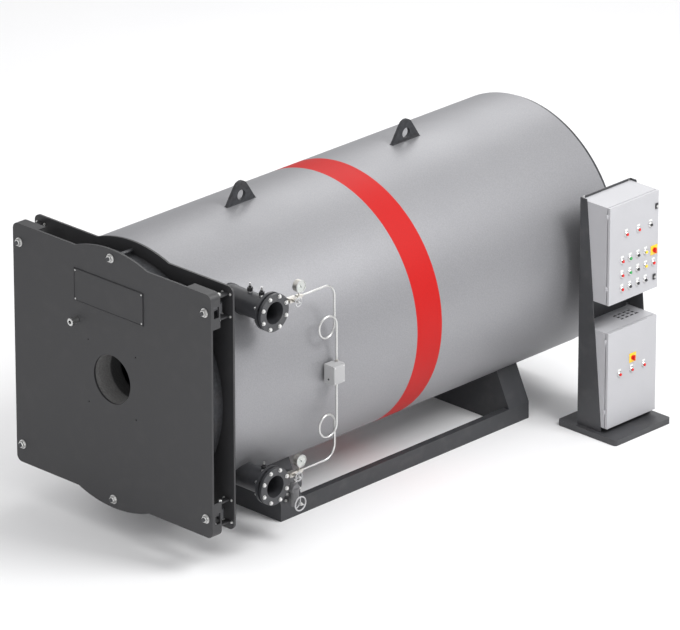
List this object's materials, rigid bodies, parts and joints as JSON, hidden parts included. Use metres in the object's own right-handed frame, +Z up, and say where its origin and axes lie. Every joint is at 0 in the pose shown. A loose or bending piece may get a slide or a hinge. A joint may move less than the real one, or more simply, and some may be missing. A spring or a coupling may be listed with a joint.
{
  "type": "industrial boiler",
  "caption": "Horizontal fire-tube boiler on a skid with a swing door, two flanged water nozzles, a pressure line, a drain valve and a control stand beside it",
  "frame": {"origin": "On the floor, in the middle of the underside of the front saddle, under the boiler's axis.", "axes": "+Z up; +Y runs along the boiler from its door to its rear end; the door faces -Y; +X is the side of the water nozzles and the control stand."},
  "size_m": [3.053, 5.24, 2.8448],
  "materials": {
    "jacket_sheet": "speckled light grey sheet with a red band",
    "dark_steel": "dark grey heat-resistant paint",
    "door_paint": "satin black paint",
    "skid_paint": "satin dark grey paint",
    "pipe_paint": "satin dark grey paint",
    "refractory": "pale cast insulation",
    "bright_steel": "zinc-plated steel",
    "name_plate": "dark blank plate",
    "line_tube": "drawn steel tube",
    "valve_metal": "bare nickel-plated fittings",
    "cast_grey": "grey cast body",
    "gauge_case": "dark case",
    "switch_case": "white plastic",
    "wheel_paint": "black paint",
    "stand_paint": "dark grey paint",
    "cabinet_paint": "light grey textured powder coat",
    "control_plastic": "dark plastic",
    "isolator_red": "red plastic"
  },
  "bodies": {
    "boiler": {"shell_jacket": "jacket_sheet", "rear_end": "dark_steel", "tube_plate": "dark_steel", "furnace_tube": "dark_steel", "front_plate": "door_paint", "lifting_eyes": "dark_steel", "skid_rails": "skid_paint", "skid_end_plates": "skid_paint", "front_saddle": "skid_paint", "rear_saddle": "skid_paint", "nozzle_pipes": "pipe_paint", "nozzle_flanges": "pipe_paint", "counter_flanges": "pipe_paint", "probe_pockets": "bright_steel", "corner_lugs": "door_paint", "clamp_rods": "pipe_paint", "pressure_tubes": "line_tube", "gauge_valves": "valve_metal", "gauges": "gauge_case", "pressure_switch": "switch_case", "drain_neck": "pipe_paint", "drain_cover": "dark_steel", "drain_valve": "cast_grey", "stand_base": "stand_paint", "stand_back": "stand_paint", "stand_sides": "stand_paint", "upper_cabinet": "cabinet_paint", "lower_cabinet": "cabinet_paint"},
    "boiler_door": {"door_plate": "door_paint", "door_drum": "dark_steel", "door_refractory": "refractory", "door_corner_boxes": "door_paint", "name_plate": "name_plate", "sight_tube": "bright_steel", "hinge_rods": "pipe_paint"},
    "upper_door": {"upper_cabinet_door": "cabinet_paint", "upper_controls": "control_plastic"},
    "lower_door": {"lower_cabinet_door": "cabinet_paint", "lower_controls": "control_plastic"},
    "upper_switch": {"upper_isolator": "isolator_red"},
    "lower_switch": {"lower_isolator": "isolator_red"},
    "drain_wheel": {"drain_handwheel": "wheel_paint"},
    "lower_wheel": {"lower_gauge_wheel": "wheel_paint"},
    "upper_wheel": {"upper_gauge_wheel": "wheel_paint"}
  },
  "joints": [
    {"name": "boiler_door_hinge", "type": "hinge", "parent": "boiler", "child": "boiler_door", "pos_m": [1.133, -1.155, 1.457], "axis": [0, 0, 1], "range_deg": [0, 90]},
    {"name": "upper_cabinet_hinge", "type": "hinge", "parent": "boiler", "child": "upper_door", "pos_m": [1.654, 3.144, 1.75], "axis": [0, 0, -1], "range_deg": [0, 110]},
    {"name": "lower_cabinet_hinge", "type": "hinge", "parent": "boiler", "child": "lower_door", "pos_m": [1.654, 3.144, 0.56], "axis": [0, 0, -1], "range_deg": [0, 110]},
    {"name": "upper_isolator_turn", "type": "hinge", "parent": "upper_door", "child": "upper_switch", "pos_m": [1.683, 3.738, 1.658], "axis": [1, 0, 0], "range_deg": [0, 90]},
    {"name": "lower_isolator_turn", "type": "hinge", "parent": "lower_door", "child": "lower_switch", "pos_m": [1.683, 3.478, 0.701], "axis": [1, 0, 0], "range_deg": [0, 90]},
    {"name": "drain_wheel_turn", "type": "hinge", "parent": "boiler", "child": "drain_wheel", "pos_m": [1.25, -0.3, 0.357], "axis": [1, 0, 0], "range_deg": [0, 720]},
    {"name": "lower_wheel_turn", "type": "hinge", "parent": "boiler", "child": "lower_wheel", "pos_m": [1.3, -0.365, 0.647], "axis": [1, 0, 0], "range_deg": [0, 720]},
    {"name": "upper_wheel_turn", "type": "hinge", "parent": "boiler", "child": "upper_wheel", "pos_m": [1.3, -0.365, 2.267], "axis": [1, 0, 0], "range_deg": [0, 720]}
  ]
}
